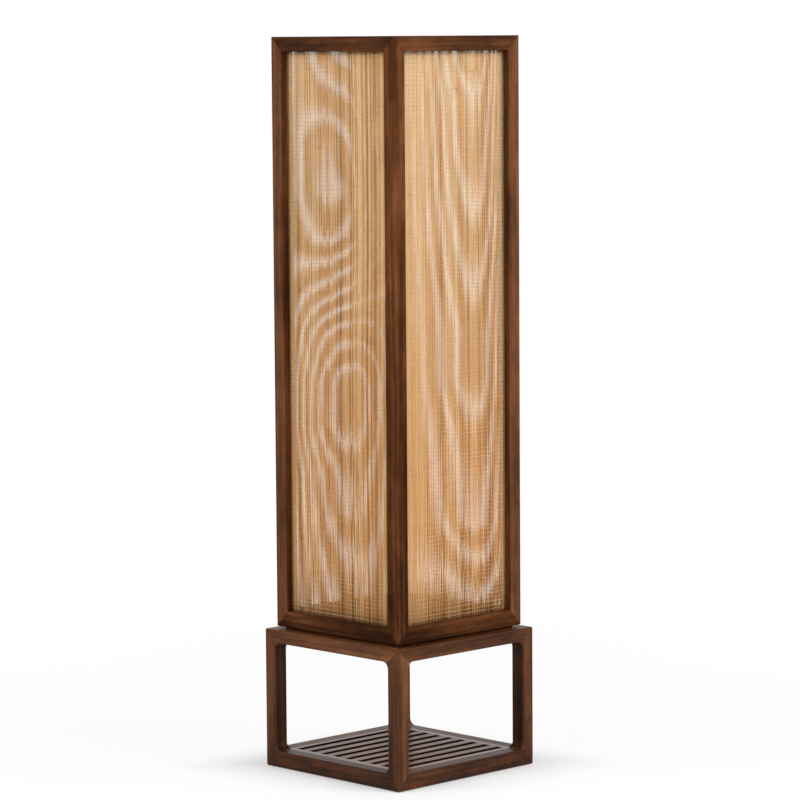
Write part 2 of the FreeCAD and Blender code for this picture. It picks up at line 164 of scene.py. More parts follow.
class Graph:
    """Node graph of one material or of the sky."""

    def __init__(self, owner: Union[bpy.types.Material, bpy.types.World]) -> None:
        """Empty the node tree of a material or a world.

        Args:
            owner: what the graph belongs to.
        """
        owner.use_nodes = True
        self.owner = owner
        self.tree = owner.node_tree
        self.tree.nodes.clear()

    @classmethod
    def of_material(cls, name: str) -> "Graph":
        """Graph of a new material."""
        return cls(bpy.data.materials.new(name))

    def node(
        self,
        kind: str,
        settings: dict[str, Any] | None = None,
        values: dict[Union[str, int], Any] | None = None,
    ) -> bpy.types.Node:
        """Add a node, set its settings and then its sockets.

        Args:
            kind: type of the node.
            settings: properties of the node; "stops" are a colour ramp's places and colours.
            values: numbers, colours or links, by socket name, identifier or index.

        Returns:
            The node.
        """
        node = self.tree.nodes.new(kind)
        for name, setting in (settings or {}).items():
            if name == "stops":
                self._set_stops(node.color_ramp, setting)
            else:
                setattr(node, name, setting)
        for key, value in (values or {}).items():
            self._feed(self._socket(node.inputs, key), value)
        return node

    @staticmethod
    def _set_stops(ramp: bpy.types.ColorRamp, stops: list[tuple[float, Colour]]) -> None:
        """Give a colour ramp its stops.

        Args:
            ramp: the ramp.
            stops: places and colours, in order of place.
        """
        while len(ramp.elements) < len(stops):
            ramp.elements.new(1.0)
        for element, (place, colour) in zip(ramp.elements, stops):
            element.position = place
            element.color = (*colour, 1.0)

    @staticmethod
    def _socket(sockets: Any, key: Union[str, int]) -> bpy.types.NodeSocket:
        """Find a socket of a node.

        Args:
            sockets: inputs or outputs of the node.
            key: index, identifier or name of the socket.

        Returns:
            The socket.
        """
        if isinstance(key, int):
            return sockets[key]
        for socket in sockets:
            if socket.identifier == key:
                return socket
        return sockets[key]

    def _feed(self, socket: bpy.types.NodeSocket, value: Any) -> None:
        """Link a socket or set what it holds.

        Args:
            socket: input of a node.
            value: value or socket to link, or a number, vector or colour to set.
        """
        if isinstance(value, Value):
            self.tree.links.new(value.socket, socket)
        elif isinstance(value, bpy.types.NodeSocket):
            self.tree.links.new(value, socket)
        elif socket.type == "RGBA":
            socket.default_value = (*value, 1.0)
        else:
            socket.default_value = value

    def value(self, node: bpy.types.Node, output: Union[str, int] = 0) -> Value:
        """Output of a node as a value."""
        return Value(self, self._socket(node.outputs, output))

    def maths(self, operation: str, first: Number, second: Number = 0.0) -> Value:
        """Math node on one or two values."""
        settings = {"operation": operation}
        return self.value(self.node("ShaderNodeMath", settings, {0: first, 1: second}))

    def position(self) -> tuple[Value, Value, Value]:
        """Read the place on the object.

        Returns:
            Its three coordinates in metres.
        """
        place = self.node("ShaderNodeTexCoord")
        parts = self.node("ShaderNodeSeparateXYZ", values={0: place.outputs["Object"]})
        return self.value(parts, 0), self.value(parts, 1), self.value(parts, 2)

    def vector(self, x: Number, y: Number, z: Number) -> Value:
        """Vector from three values."""
        return self.value(self.node("ShaderNodeCombineXYZ", values={0: x, 1: y, 2: z}))

    def noise(self, kind: Noise, across: Value, aside: Value, along: Value) -> Value:
        """Smooth noise about one half, drawn out along the grain.

        Args:
            kind: scale and fineness of the noise.
            across: place across the grain.
            aside: place across the grain, the other way.
            along: place along the grain.

        Returns:
            The noise.
        """
        values = {
            "Vector": self.vector(across, aside, along * kind.along),
            "Scale": kind.scale,
            "Detail": kind.detail,
            "Roughness": kind.roughness,
        }
        return self.value(self.node("ShaderNodeTexNoise", values=values))

    def between(self, value: Number, low: float, high: float) -> Value:
        """Smooth step from 0 at the low limit to 1 at the high one."""
        settings = {"interpolation_type": "SMOOTHSTEP"}
        return self.value(self.node("ShaderNodeMapRange", settings, {0: value, 1: low, 2: high}))

    def colour_mix(self, factor: Number, first: Any, second: Any, blend: str = "MIX") -> Value:
        """Mix two colours.

        Args:
            factor: share of the second colour.
            first: colour or value.
            second: colour or value.
            blend: way of mixing.

        Returns:
            The mixed colour.
        """
        settings = {"data_type": "RGBA", "blend_type": blend}
        values = {"Factor_Float": factor, "A_Color": first, "B_Color": second}
        return self.value(self.node("ShaderNodeMix", settings, values), "Result_Color")

    def ramp(self, value: Value, places: Iterable[float], colours: Iterable[Colour]) -> Value:
        """Colour from a ramp that has each colour at its place."""
        stops = list(zip(places, colours))
        return self.value(self.node("ShaderNodeValToRGB", {"stops": stops}, {0: value}))

    def bump(self, height: Value, depth: float, strength: float) -> Value:
        """Normal that follows a height, whose unit is the depth in metres."""
        values = {"Height": height, "Distance": depth, "Strength": strength}
        return self.value(self.node("ShaderNodeBump", values=values))

    def attribute(self, name: str) -> Value:
        """Number that the mesh carries under a name."""
        settings = {"attribute_name": name}
        return self.value(self.node("ShaderNodeAttribute", settings), "Fac")

    def surface(self, **sockets: Any) -> bpy.types.Material:
        """Close the graph with a Principled shader.

        Args:
            sockets: values of the shader's sockets, with underscores for spaces.

        Returns:
            The material.
        """
        values = {name.replace("_", " "): value for name, value in sockets.items()}
        shader = self.node("ShaderNodeBsdfPrincipled", values=values)
        self.node("ShaderNodeOutputMaterial", values={"Surface": shader.outputs[0]})
        return self.owner

    def looks(self, *kinds: str) -> Value:
        """Tell the rays that look at a surface from those that light it.

        Args:
            kinds: outputs of the light path, one for each kind of ray.

        Returns:
            1 for a ray of one of these kinds, else 0.
        """
        rays = self.node("ShaderNodeLightPath")
        found = self.value(rays, kinds[0])
        for kind in kinds[1:]:
            found = self.maths("MAXIMUM", found, self.value(rays, kind))
        return found


class Finish:
    """Base of the finishes: a finish makes a material and puts it on a piece."""

    def material(self) -> bpy.types.Material:
        """Make the material."""
        raise NotImplementedError

    def dress(self, piece: bpy.types.Object) -> None:
        """Put the material on every slot of a piece.

        Args:
            piece: CAD node or new piece.
        """
        made = self.material()
        if not piece.material_slots:
            piece.data.materials.append(made)
        for slot in piece.material_slots:
            slot.material = made
        log.info("%s is finished in %s", piece.name, made.name)


@dataclass(frozen=True)
class Walnut(Finish):
    """Dark oiled walnut with growth lines, streaks, mottling and open pores.

    The slant is how much a board's tone rises in a metre from its middle along X, Y and Z. A
    board with a shade height has painted shade below it, dark like the shade down the shelf's
    slots, and is varnished above.
    """

    grain: Grain
    board: int
    tone: float = 0.0
    slant: Triple = (0.0, 0.0, 0.0)
    middle: Triple = (0.0, 0.0, 0.0)
    painted_shade_below: float | None = None
    gloss: float = 0.08
    varnish: float = 0.0
    rough: float = 0.40
    deep: Colour = (0.028, 0.0080, 0.0022)
    brown: Colour = (0.080, 0.0250, 0.0068)
    warm: Colour = (0.145, 0.0500, 0.0160)
    pale: Colour = (0.260, 0.1050, 0.0410)
    # painted shade: the colour of the shelf's sides below the shade height, as the shade in the
    # slots
    slot_shade_colour: Colour = (0.024, 0.0076, 0.0040)
    shade_places: tuple[float, ...] = (0.22, 0.42, 0.58, 0.86)
    usual_depth: float = 0.59
    streaks: Noise = Noise(110.0, 3.0, 0.6, along=0.035, share=0.46)
    bands: Noise = Noise(34.0, along=0.105, share=0.50)
    clouds: Noise = Noise(17.0, 2.0, 0.6, along=0.28, share=0.60)
    mottles: Noise = Noise(85.0, 3.0, 0.65, along=0.42, share=0.34)
    fibres: Noise = Noise(1000.0, 2.0, 0.6, along=0.035, share=0.12)
    pores: Noise = Noise(1900.0, 1.0, along=0.035, share=0.35)
    sway: Noise = Noise(22.0, 1.0, along=0.105, share=0.022)
    open_pores: Span = (0.60, 0.72)
    ring_pitch: float = 0.0085
    ring_share: float = 0.07
    ring_aside: float = 0.6
    pith: Span = (0.2, 0.4)
    cut_from: Span = (0.5, 3.0)
    shade_blend: float = 0.0004
    fibre_rough: float = 0.16
    pore_rough: float = 0.14
    fibre_relief: float = 0.35
    ring_relief: float = 0.15
    relief: Relief = (0.00012, 0.6)

    def material(self) -> bpy.types.Material:
        """Make the wood of one board.

        Returns:
            The material.
        """
        graph = Graph.of_material("walnut_%s_%02d" % (self.grain.name.lower(), self.board))
        chance = random.Random(self.board)
        place = graph.position()
        away = [(place[axis] - self.middle[axis]) * self.slant[axis] for axis in range(3)]
        slope = away[0] + away[1] + away[2]
        first, second, long = (
            place[axis] + chance.uniform(*self.cut_from) for axis in self.grain.value
        )
        sway = graph.noise(self.sway, first, second, long) * self.sway.share
        rings = self._rings(graph, first + sway, second + sway * self.ring_aside, chance)
        kinds = (self.streaks, self.bands, self.clouds, self.mottles, self.fibres, self.pores)
        streaks, bands, clouds, mottles, fibres, pits = (
            graph.noise(kind, first, second, long) for kind in kinds
        )
        pores = graph.between(pits, *self.open_pores)

        depth = (
            streaks * self.streaks.share
            + bands * self.bands.share
            + clouds * self.clouds.share
            + mottles * self.mottles.share
            + rings * self.ring_share
            + fibres * self.fibres.share
        )
        depth = depth + slope + (self.tone - self.usual_depth)
        shades = (self.deep, self.brown, self.warm, self.pale)
        colour = graph.ramp(depth, self.shade_places, shades)
        colour = graph.colour_mix(pores * self.pores.share, colour, self.deep)
        varnish = self.varnish
        # painted shade: below the shade height the shelf wood is painted dark, as the shade in its
        # slots, and above it is varnished
        if self.painted_shade_below is not None:
            edge = self.painted_shade_below - self.shade_blend
            varnished_unshaded = graph.between(place[2], edge, self.painted_shade_below)
            colour = graph.colour_mix(varnished_unshaded, self.slot_shade_colour, colour)
            varnish = varnished_unshaded * self.varnish
        rough = fibres * self.fibre_rough + pores * self.pore_rough
        height = fibres * self.fibre_relief - pores + rings * self.ring_relief
        return graph.surface(
            Base_Color=colour,
            Roughness=rough + (self.rough - self.fibre_rough / 2),
            Normal=graph.bump(height, *self.relief),
            Specular_IOR_Level=self.gloss,
            Coat_Weight=varnish,
            Coat_Roughness=self.rough,
        )

    def _rings(self, graph: Graph, first: Value, second: Value, chance: random.Random) -> Value:
        """Growth lines round a pith that lies beside the board.

        Args:
            graph: graph of the wood.
            first: place across the board.
            second: place across the board, the other way.
            chance: source of the pith's place.

        Returns:
            A value from 0 to 1 that is high in the late wood.
        """
        off_first = first - chance.uniform(*self.pith)
        off_second = second - chance.uniform(*self.pith)
        reach = (off_first * off_first + off_second * off_second) ** 0.5
        wave = graph.maths("SINE", reach * (2 * math.pi / self.ring_pitch))
        return (wave * 0.5 + 0.5) ** 2.0


@dataclass(frozen=True)
class Batten(Finish):
    """Plain sawn hardwood of the hidden ledgers, cleats and dowels."""

    grain: Grain
    board: int
    dark: Colour = (0.150, 0.072, 0.034)
    light: Colour = (0.300, 0.165, 0.085)
    shade_places: Span = (0.30, 0.70)
    streaks: Noise = Noise(240.0, 3.0, along=0.05, share=0.2)
    flecks: Noise = Noise(700.0, along=0.3, share=0.35)
    open_flecks: Span = (0.60, 0.72)
    rough: float = 0.5
    gloss: float = 0.25
    relief: Relief = (0.00015, 0.5)

    def material(self) -> bpy.types.Material:
        """Make the wood of one batten.

        Returns:
            The material.
        """
        graph = Graph.of_material("batten_%s_%02d" % (self.grain.name.lower(), self.board))
        place = graph.position()
        first, second, long = (place[axis] for axis in self.grain.value)
        streaks = graph.noise(self.streaks, first + self.board, second, long)
        pits = graph.noise(self.flecks, first, second + self.board, long)
        flecks = graph.between(pits, *self.open_flecks)
        colour = graph.ramp(streaks, self.shade_places, (self.dark, self.light))
        return graph.surface(
            Base_Color=graph.colour_mix(flecks * self.flecks.share, colour, self.dark),
            Roughness=streaks * self.streaks.share + self.rough,
            Normal=graph.bump(streaks - flecks, *self.relief),
            Specular_IOR_Level=self.gloss,
        )


@dataclass(frozen=True)
class Reed(Finish):
    """Dried reed: straw to olive tan from splint to splint, with fine fibres and age spots.

    It turns golden from the upper to the lower end of the aged heights.
    """

    seed: int
    bleach: float = 0.0
    fade: float = 0.0
    fade_from: float = 0.55
    aged: Colour = (1.0, 0.87, 0.70)
    aged_heights: Span = (0.35, 1.0)
    olive: Colour = (0.400, 0.205, 0.070)
    tan: Colour = (0.880, 0.485, 0.197)
    straw: Colour = (0.965, 0.700, 0.400)
    shade_places: tuple[float, ...] = (0.12, 0.50, 0.88)
    tone_share: float = 0.90
    usual_depth: float = 0.28
    fibres: Noise = Noise(2600.0, along=0.02, share=0.26)
    patches: Noise = Noise(60.0, along=0.25, share=0.40)
    spots: Noise = Noise(420.0, 1.0, along=0.2, share=0.5)
    open_spots: Span = (0.66, 0.76)
    rough: float = 0.42
    fibre_rough: float = 0.2
    gloss: float = 0.30
    see_through: float = 0.6
    light_reach: Triple = (0.0012, 0.0009, 0.0005)
    relief: Relief = (0.00008, 0.5)

    def material(self) -> bpy.types.Material:
        """Make the reed of one panel.

        Returns:
            The material.
        """
        graph = Graph.of_material("reed_%02d" % self.seed)
        x, y, z = graph.position()
        fibres = graph.noise(self.fibres, x + self.seed, y, z)
        patches = graph.noise(self.patches, x + self.seed, y, z)
        spots = graph.between(graph.noise(self.spots, x, y + self.seed, z), *self.open_spots)
        depth = (
            graph.attribute("tone") * self.tone_share
            + patches * self.patches.share
            + fibres * self.fibres.share
            + (self.bleach - self.usual_depth)
        )
        depth = depth + (z - self.fade_from) * self.fade
        colour = graph.ramp(depth, self.shade_places, (self.olive, self.tan, self.straw))
        ageing = 1 - graph.between(z, *self.aged_heights)
        colour = graph.colour_mix(ageing, colour, self.aged, "MULTIPLY")
        return graph.surface(
            Base_Color=graph.colour_mix(spots * self.spots.share, colour, self.olive),
            Roughness=fibres * self.fibre_rough + self.rough,
            Normal=graph.bump(fibres - spots * self.spots.share, *self.relief),
            Specular_IOR_Level=self.gloss,
            Subsurface_Weight=self.see_through,
            Subsurface_Radius=self.light_reach,
        )


@dataclass(frozen=True)
class Thread(Finish):
    """Twisted linen thread that ties the splints."""

    seed: int
    dark: Colour = (0.480, 0.285, 0.130)
    light: Colour = (0.980, 0.760, 0.500)
    shade_places: Span = (0.30, 0.70)
    dye: Noise = Noise(90.0, 3.0, 0.7, along=6.0, share=0.8)
    dye_across: float = 0.2
    twist_waves: float = 9000.0
    rough: float = 0.75
    twist_rough: float = 0.1
    gloss: float = 0.15
    relief: Relief = (0.00008, 0.5)

    def material(self) -> bpy.types.Material:
        """Make the thread of one panel.

        Returns:
            The material.
        """
        graph = Graph.of_material("thread_%02d" % self.seed)
        x, y, z = graph.position()
        twist = graph.maths("SINE", (x + y + z) * self.twist_waves) * 0.5 + 0.5
        dye = graph.noise(self.dye, x * self.dye_across + self.seed, y * self.dye_across, z)
        depth = dye * self.dye.share + twist * (1 - self.dye.share)
        return graph.surface(
            Base_Color=graph.ramp(depth, self.shade_places, (self.dark, self.light)),
            Roughness=twist * self.twist_rough + self.rough,
            Normal=graph.bump(twist, *self.relief),
            Specular_IOR_Level=self.gloss,
        )


@dataclass(frozen=True)
class Felt(Finish):
    """Pressed dark felt."""

    dark: Colour = (0.016, 0.014, 0.012)
    light: Colour = (0.075, 0.066, 0.056)
    shade_places: Span = (0.3, 0.7)
    fuzz: Noise = Noise(2400.0, 3.0, 0.7, share=0.1)
    rough: float = 0.85
    gloss: float = 0.1
    relief: Relief = (0.0004, 0.8)

    def material(self) -> bpy.types.Material:
        """Make the felt.

        Returns:
            The material.
        """
        graph = Graph.of_material("felt")
        fuzz = graph.noise(self.fuzz, *graph.position())
        return graph.surface(
            Base_Color=graph.ramp(fuzz, self.shade_places, (self.dark, self.light)),
            Roughness=fuzz * self.fuzz.share + self.rough,
            Normal=graph.bump(fuzz, *self.relief),
            Specular_IOR_Level=self.gloss,
        )


@dataclass(frozen=True)
class Metal(Finish):
    """Plated metal with fine turning or brushing marks."""

    name: str
    colour: Colour
    rough: float = 0.28
    marks: Noise = Noise(2600.0, share=0.2)
    marks_across: float = 0.1
    clouds: Noise = Noise(160.0, share=0.2)
    dull_clouds: Span = (0.35, 0.75)
    dull_share: float = 0.6
    dull_tone: float = 0.55
    relief: Relief = (0.00003, 0.5)

    def material(self) -> bpy.types.Material:
        """Make the metal.

        Returns:
            The material.
        """
        graph = Graph.of_material(self.name)
        x, y, z = graph.position()
        lines = graph.noise(self.marks, x * self.marks_across, y * self.marks_across, z)
        clouds = graph.noise(self.clouds, x, y, z)
        dull = tuple(self.dull_tone * part for part in self.colour)
        dulled = graph.between(clouds, *self.dull_clouds) * self.dull_share
        rough = lines * self.marks.share + clouds * self.clouds.share
        return graph.surface(
            Base_Color=graph.colour_mix(dulled, self.colour, dull),
            Roughness=rough + (self.rough - (self.marks.share + self.clouds.share) / 2),
            Normal=graph.bump(lines, *self.relief),
            Metallic=1.0,
        )


@dataclass(frozen=True)
class Plastic(Finish):
    """Moulded plastic with a fine grain and faint handling marks."""

    name: str
    colour: Colour
    rough: float = 0.38
    skin: Noise = Noise(3200.0, share=0.06)
    wear: Noise = Noise(120.0, 3.0, share=0.12)
    worn_places: Span = (0.45, 0.75)
    worn_share: float = 0.5
    worn_coat: float = 0.05
    new_polish: float = 0.05
    faded_tone: float = 0.8
    faded_haze: float = 0.02
    relief: Relief = (0.00004, 0.4)

    def material(self) -> bpy.types.Material:
        """Make the plastic.

        Returns:
            The material.
        """
        graph = Graph.of_material(self.name)
        place = graph.position()
        skin = graph.noise(self.skin, *place)
        worn = graph.between(graph.noise(self.wear, *place), *self.worn_places)
        faded = tuple(self.faded_tone * part + self.faded_haze for part in self.colour)
        rough = worn * self.wear.share + skin * self.skin.share
        return graph.surface(
            Base_Color=graph.colour_mix(worn * self.worn_share, self.colour, faded),
            Roughness=rough + (self.rough - self.new_polish),
            Normal=graph.bump(skin, *self.relief),
            Coat_Weight=worn * self.worn_coat,
        )


@dataclass(frozen=True)
class FrostedGlass(Finish):
    """Frosted white glass of the bulb, a little darker round its neck."""

    bottom: float
    neck_height: float = 0.029
    milk: Colour = (0.86, 0.85, 0.81)
    shade: Colour = (0.74, 0.72, 0.66)
    frost: Noise = Noise(1800.0, 3.0, share=0.12)
    rough: float = 0.24
    see_through: float = 0.25
    light_reach: Triple = (0.004, 0.004, 0.003)
    relief: Relief = (0.00002, 0.3)

    def material(self) -> bpy.types.Material:
        """Make the glass.

        Returns:
            The material.
        """
        graph = Graph.of_material("frosted_glass")
        x, y, z = graph.position()
        frost = graph.noise(self.frost, x, y, z)
        above_neck = graph.between(z, self.bottom, self.bottom + self.neck_height)
        return graph.surface(
            Base_Color=graph.colour_mix(above_neck, self.shade, self.milk),
            Roughness=frost * self.frost.share + self.rough,
            Normal=graph.bump(frost, *self.relief),
            Subsurface_Weight=self.see_through,
            Subsurface_Radius=self.light_reach,
        )


class Workbench:
    """Modelling by operators: primitives, edit-mode work and joining, as done by hand."""

    @staticmethod
    def clear() -> None:
        """Leave edit mode and deselect everything."""
        if bpy.context.object and bpy.context.object.mode != "OBJECT":
            bpy.ops.object.mode_set(mode="OBJECT")
        bpy.ops.object.select_all(action="DESELECT")

    @staticmethod
    def pick(piece: bpy.types.Object) -> None:
        """Select one piece alone and make it active.

        Args:
            piece: the piece.
        """
        Workbench.clear()
        piece.select_set(True)
        bpy.context.view_layer.objects.active = piece

    @staticmethod
    def box(name: str, centre: Vector, size: Vector) -> bpy.types.Object:
        """Box with its place and size in its mesh.

        Args:
            name: name of the piece.
            centre: middle of the box.
            size: its three lengths.

        Returns:
            The piece.
        """
        Workbench.clear()
        bpy.ops.mesh.primitive_cube_add(size=1.0, location=centre)
        piece = bpy.context.object
        piece.name = name
        piece.scale = size
        bpy.ops.object.transform_apply(location=True, rotation=True, scale=True)
        return piece

    @staticmethod
    def rod(
        name: str, sides: int, radius: float, length: float, centre: Vector
    ) -> bpy.types.Object:
        """Upright round bar with its place in its mesh.

        Args:
            name: name of the piece.
            sides: flats round the bar.
            radius: radius of the bar.
            length: length of the bar.
            centre: middle of the bar.

        Returns:
            The piece.
        """
        Workbench.clear()
        bpy.ops.mesh.primitive_cylinder_add(
            vertices=sides, radius=radius, depth=length, location=centre
        )
        piece = bpy.context.object
        piece.name = name
        bpy.ops.object.transform_apply(location=True, rotation=True, scale=True)
        return piece

    @staticmethod
    def _deselect_in(piece: bpy.types.Object, kind: str) -> bpy.types.Mesh:
        """Deselect all in a piece, ready to select edges or faces.

        Args:
            piece: the piece.
            kind: "EDGE" or "FACE".

        Returns:
            The mesh of the piece, in object mode.
        """
        Workbench.pick(piece)
        bpy.ops.object.mode_set(mode="EDIT")
        bpy.ops.mesh.select_mode(type=kind)
        bpy.ops.mesh.select_all(action="DESELECT")
        bpy.ops.object.mode_set(mode="OBJECT")
        return piece.data

    @staticmethod
    def choose_edges(piece: bpy.types.Object, wanted: Callable[[Vector, Vector], bool]) -> None:
        """Enter edit mode with some edges selected.

        Args:
            piece: the piece.
            wanted: test of the places of an edge's two ends.
        """
        mesh = Workbench._deselect_in(piece, "EDGE")
        for edge in mesh.edges:
            first, second = (mesh.vertices[index].co for index in edge.vertices)
            edge.select = wanted(first, second)
        bpy.ops.object.mode_set(mode="EDIT")

    @staticmethod
    def choose_faces(piece: bpy.types.Object, wanted: Callable[[Vector, Vector], bool]) -> None:
        """Enter edit mode with some faces selected.

        Args:
            piece: the piece.
            wanted: test of a face's middle and normal.
        """
        mesh = Workbench._deselect_in(piece, "FACE")
        for face in mesh.polygons:
            face.select = wanted(face.center, face.normal)
        bpy.ops.object.mode_set(mode="EDIT")

    @staticmethod
    def turn_outwards(piece: bpy.types.Object) -> None:
        """Make all faces of a closed piece point outwards.

        Args:
            piece: the piece.
        """
        Workbench.pick(piece)
        bpy.ops.object.mode_set(mode="EDIT")
        bpy.ops.mesh.select_all(action="SELECT")
        bpy.ops.mesh.normals_make_consistent(inside=False)
        bpy.ops.object.mode_set(mode="OBJECT")

    @staticmethod
    def modify(piece: bpy.types.Object, kind: str, **settings: Any) -> None:
        """Give a piece a modifier and apply it.

        Args:
            piece: the piece.
            kind: type of the modifier.
            settings: properties of the modifier.
        """
        Workbench.pick(piece)
        modifier = piece.modifiers.new(kind.lower(), kind)
        for name, setting in settings.items():
            setattr(modifier, name, setting)
        bpy.ops.object.modifier_apply(modifier=modifier.name)

    @staticmethod
    def moved_copy(
        pattern: bpy.types.Object, name: str, place: Callable[[Vector], Vector]
    ) -> bpy.types.Object:
        """Copy of a piece with a mesh of its own, each point put where a function says.

        Args:
            pattern: piece that is copied.
            name: name of the copy.
            place: new place of a point from its old one.

        Returns:
            The copy.
        """
        mesh = pattern.data.copy()
        for point in mesh.vertices:
            point.co = place(point.co)
        piece = bpy.data.objects.new(name, mesh)
        bpy.context.scene.collection.objects.link(piece)
        return piece

    @staticmethod
    def joined(name: str, parts: list[bpy.types.Object]) -> bpy.types.Object:
        """Join parts into one piece.

        Args:
            name: name of the piece.
            parts: what is joined.

        Returns:
            The piece.
        """
        Workbench.pick(parts[0])
        for part in parts[1:]:
            part.select_set(True)
        bpy.ops.object.join()
        piece = bpy.context.object
        piece.name = name
        return piece

    @staticmethod
    def discard(piece: bpy.types.Object) -> None:
        """Delete a pattern that has been copied."""
        bpy.data.objects.remove(piece)


def box_of(node: str) -> tuple[Vector, Vector]:
    """Lowest and highest corner of a CAD node, in its own coordinates."""
    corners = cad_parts[node].bound_box
    return Vector(corners[0]), Vector(corners[6])


def clamped(way: float) -> float:
    """Number held between 0 and 1."""
    return min(1.0, max(0.0, way))


def smooth_step(way: float) -> float:
    """Smooth rise from 0 to 1 while its way goes from 0 to 1, and flat beyond."""
    way = clamped(way)
    return way * way * (3 - 2 * way)


@dataclass(frozen=True)
class Bow:
    """How far splints stand aside at one height: bowed in the panel's middle, and as a whole."""

    height: float
    middle: float
    whole: float


@dataclass(frozen=True)
class Splint:
    """One splint: its even place across the panel and how it strays from an even one."""

    even: float
    astray: float
    stouter: float
    ahead: float
    lean: float
    tone: float


@dataclass(frozen=True)
class Tie:
    """One thread: its height and how it strays from a level, straight one."""

    height: float
    slope: float
    swing: float


@dataclass
class ReedPanel:
    """One see-through panel of upright reed splints tied by level threads.

    The splints lie tighter towards one side, from a share of the half width on, and below a
    height this is less so. Numbers named play or chance set how much splints and threads stray.
    """

    side: Side
    half_width: float
    bottom: float
    top: float
    plane: float
    bows: tuple[Bow, ...]
    lop: float
    seed: int
    tight_side: int
    tight_from: float
    tight_over: float = 0.20
    tight_share: float = 0.27
    tight_foot: float = 1.0
    foot_end: float = 0.60
    foot_rise: float = 0.20
    fullness: float = 1.0
    shift: float = 0.0
    bleach: float = 0.0
    fade: float = 0.0
    ripple: float = 0.00012
    ripple_length: float = 0.19
    ripple_turn: float = 3.0
    splint_pitch: float = 0.0016
    splint_width: float = 0.00112
    splint_depth: float = 0.00042
    splint_runs: int = 12
    spacing_play: float = 0.00006
    width_play: float = 0.10
    depth_play: float = 0.00008
    lean_play: float = 0.00016
    upright_at: float = 0.95
    tone_middle: float = 0.52
    tone_first: float = 0.50
    tone_pull: float = 0.45
    tone_drift: float = 0.12
    tone_play: float = 0.25
    dark_chance: float = 0.05
    dark_drop: float = 0.30
    thread_pitch: float = 0.0067
    thread_radius: float = 0.00024
    thread_sides: int = 5
    thread_runs: int = 4
    thread_press: float = 0.4
    thread_play: float = 0.0002
    thread_slope: float = 0.0004
    thread_seed: int = 100

    def build(self) -> None:
        """Build the splints and the threads of the panel."""
        splints = self._splints()
        threads = self._threads()
        Reed(self.seed, self.bleach, self.fade).dress(splints)
        Thread(self.seed).dress(threads)
        for piece in (splints, threads):
            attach(piece, BODY_LANTERN)
        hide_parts("reed_panel_%s" % self.side.label)
        log.info("%s has %d faces", splints.name, len(splints.data.polygons))

    def _bow_at(self, z: float) -> Bow:
        """Bow of the splints at any height, smoothly between the panel's own bows.

        Args:
            z: the height.

        Returns:
            The bow.
        """
        middle, whole = self.bows[0].middle, self.bows[0].whole
        for low, high in zip(self.bows, self.bows[1:]):
            way = clamped((z - low.height) / (high.height - low.height))
            rise = (1 - math.cos(math.pi * way)) / 2
            middle += (high.middle - low.middle) * rise
            whole += (high.whole - low.whole) * rise
        return Bow(z, middle, whole)

    def _drift(self, x: float, z: float) -> float:
        """How far a splint stands aside: its bow is held at the two edges of the panel.

        Args:
            x: place of the splint across the panel.
            z: height on the splint.

        Returns:
            The way aside.
        """
        share = x / self.half_width
        hold = (1 + share) ** (1 - self.lop) * (1 - share) ** (1 + self.lop)
        turn = 2 * math.pi * z / self.ripple_length + self.ripple_turn * share + self.seed
        bow = self._bow_at(z)
        return hold**self.fullness * (bow.middle + self.ripple * math.sin(turn)) + bow.whole

    def _spread(self, x: float, z: float) -> float:
        """How wide a splint is against the pattern: more where they lie tight.

        Args:
            x: place of the splint across the panel.
            z: height on the splint.

        Returns:
            The width as a share of the pattern's.
        """
        share = self.tight_side * x / self.half_width
        tightness = self.tight_share * smooth_step((share - self.tight_from) / self.tight_over)
        foot = 1 - smooth_step((z - self.foot_end) / self.foot_rise)
        return 1 + tightness * (1 - foot * (1 - self.tight_foot))

    def _splint_pattern(self) -> bpy.types.Object:
        """One splint: a bar with a lens-shaped section, divided along its length.

        Returns:
            The pattern, which stands on the origin with its middle on the Z axis.
        """
        height = self.top - self.bottom
        size = Vector((self.splint_width, self.splint_depth, height))
        pattern = Workbench.box("splint_pattern", Vector((0, 0, height / 2)), size)
        Workbench.choose_edges(pattern, lambda a, b: abs(a.z - b.z) > height / 2)
        bpy.ops.mesh.subdivide(number_cuts=self.splint_runs - 1)
        bpy.ops.object.mode_set(mode="OBJECT")
        for point in pattern.data.vertices:
            on_ridge = point.co.x * point.co.y > 0
            aside = math.copysign(self.splint_width / 2, point.co.x)
            ahead = math.copysign(self.splint_depth / 2, point.co.y)
            point.co.x, point.co.y = (0, ahead) if on_ridge else (aside, 0)
        pattern.data.attributes.new("tone", "FLOAT", "POINT")
        return pattern

    def _drawn_splints(self) -> Iterator[Splint]:
        """Draw by chance how each splint of the panel strays from an even one.

        Yields:
            The splints from left to right.
        """
        chance = random.Random(self.seed)
        room = self.half_width - max(abs(bow.whole) for bow in self.bows)
        count = 2 * int(room / self.splint_pitch) + 1
        first = self.shift - self.splint_pitch * (count - 1) / 2
        slow_tone = self.tone_first
        for index in range(count):
            astray = chance.gauss(0, self.spacing_play)
            stouter = chance.uniform(-self.width_play, self.width_play)
            ahead = chance.uniform(-self.depth_play, self.depth_play)
            lean = chance.gauss(0, self.lean_play)
            pull = self.tone_pull * (self.tone_middle - slow_tone)
            slow_tone += pull + chance.gauss(0, self.tone_drift)
            drop = self.dark_drop if chance.random() < self.dark_chance else 0.0
            tone = clamped(slow_tone + chance.gauss(0, self.tone_play) - drop)
            even = first + index * self.splint_pitch
            yield Splint(even, astray, stouter, ahead, lean, tone)

    def _splint_point(self, splint: Splint, point: Vector) -> Vector:
        """Put one point of the splint pattern in its place on the lantern.

        Args:
            splint: the splint that the point belongs to.
            point: point of the pattern.

        Returns:
            Its place.
        """
        z = self.bottom + point.z
        middle = splint.even + splint.astray
        tilt = splint.lean * (self.upright_at - z) / (self.upright_at - self.bottom)
        spread = self._spread(splint.even, z) + splint.stouter
        x = middle + point.x * spread + self._drift(middle, z) + tilt
        return self.side.turn @ Vector((x, self.plane + splint.ahead + point.y, z))

